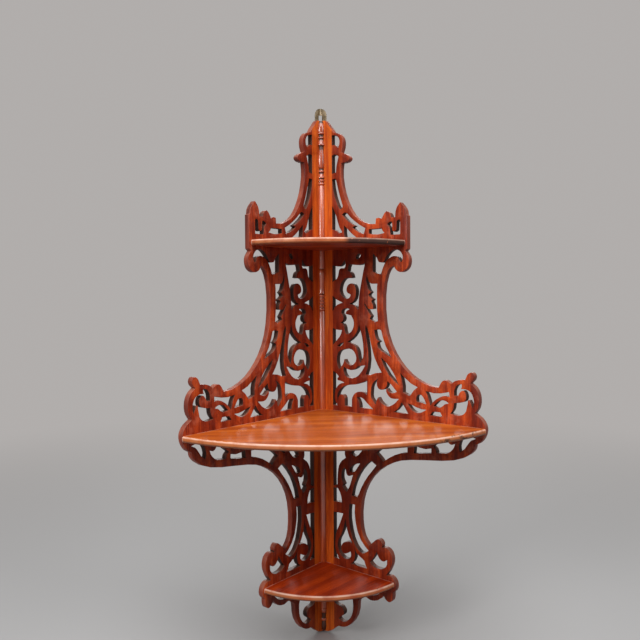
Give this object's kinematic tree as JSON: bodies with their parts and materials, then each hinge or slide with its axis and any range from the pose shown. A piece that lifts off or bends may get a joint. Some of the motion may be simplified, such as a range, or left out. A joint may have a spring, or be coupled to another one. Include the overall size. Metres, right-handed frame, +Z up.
{
  "type": "corner wall shelf",
  "caption": "Tall fretwork corner shelf in polished mahogany with bow-fronted shelves, a turned corner spindle and a brass hanger.",
  "frame": {"origin": "top of the slot in the brass hanger, on the vertical line where the two wall faces meet", "axes": "+Z up, -Y out of the wall corner towards the room, +X to the right as seen from the room"},
  "size_m": [0.5686, 0.3974, 1.158],
  "materials": {
    "panel_mahogany": "French polished",
    "shelf_mahogany": "French polished",
    "spindle_mahogany": "French polished",
    "old_brass": "dull, unlacquered",
    "screw_steel": "plain"
  },
  "bodies": {
    "root": {"left_fret_panel": "panel_mahogany", "right_fret_panel": "panel_mahogany", "top_shelf": "shelf_mahogany", "middle_shelf": "shelf_mahogany", "bottom_shelf": "shelf_mahogany", "upper_spindle": "spindle_mahogany", "middle_spindle": "spindle_mahogany", "lower_spindle": "spindle_mahogany", "pendant_spindle": "spindle_mahogany", "hanger_plate": "old_brass", "hanger_screws": "old_brass", "corner_screws_row": "screw_steel", "top_shelf_screws": "screw_steel", "middle_shelf_screws": "screw_steel", "bottom_shelf_screws": "screw_steel"}
  },
  "joints": []
}
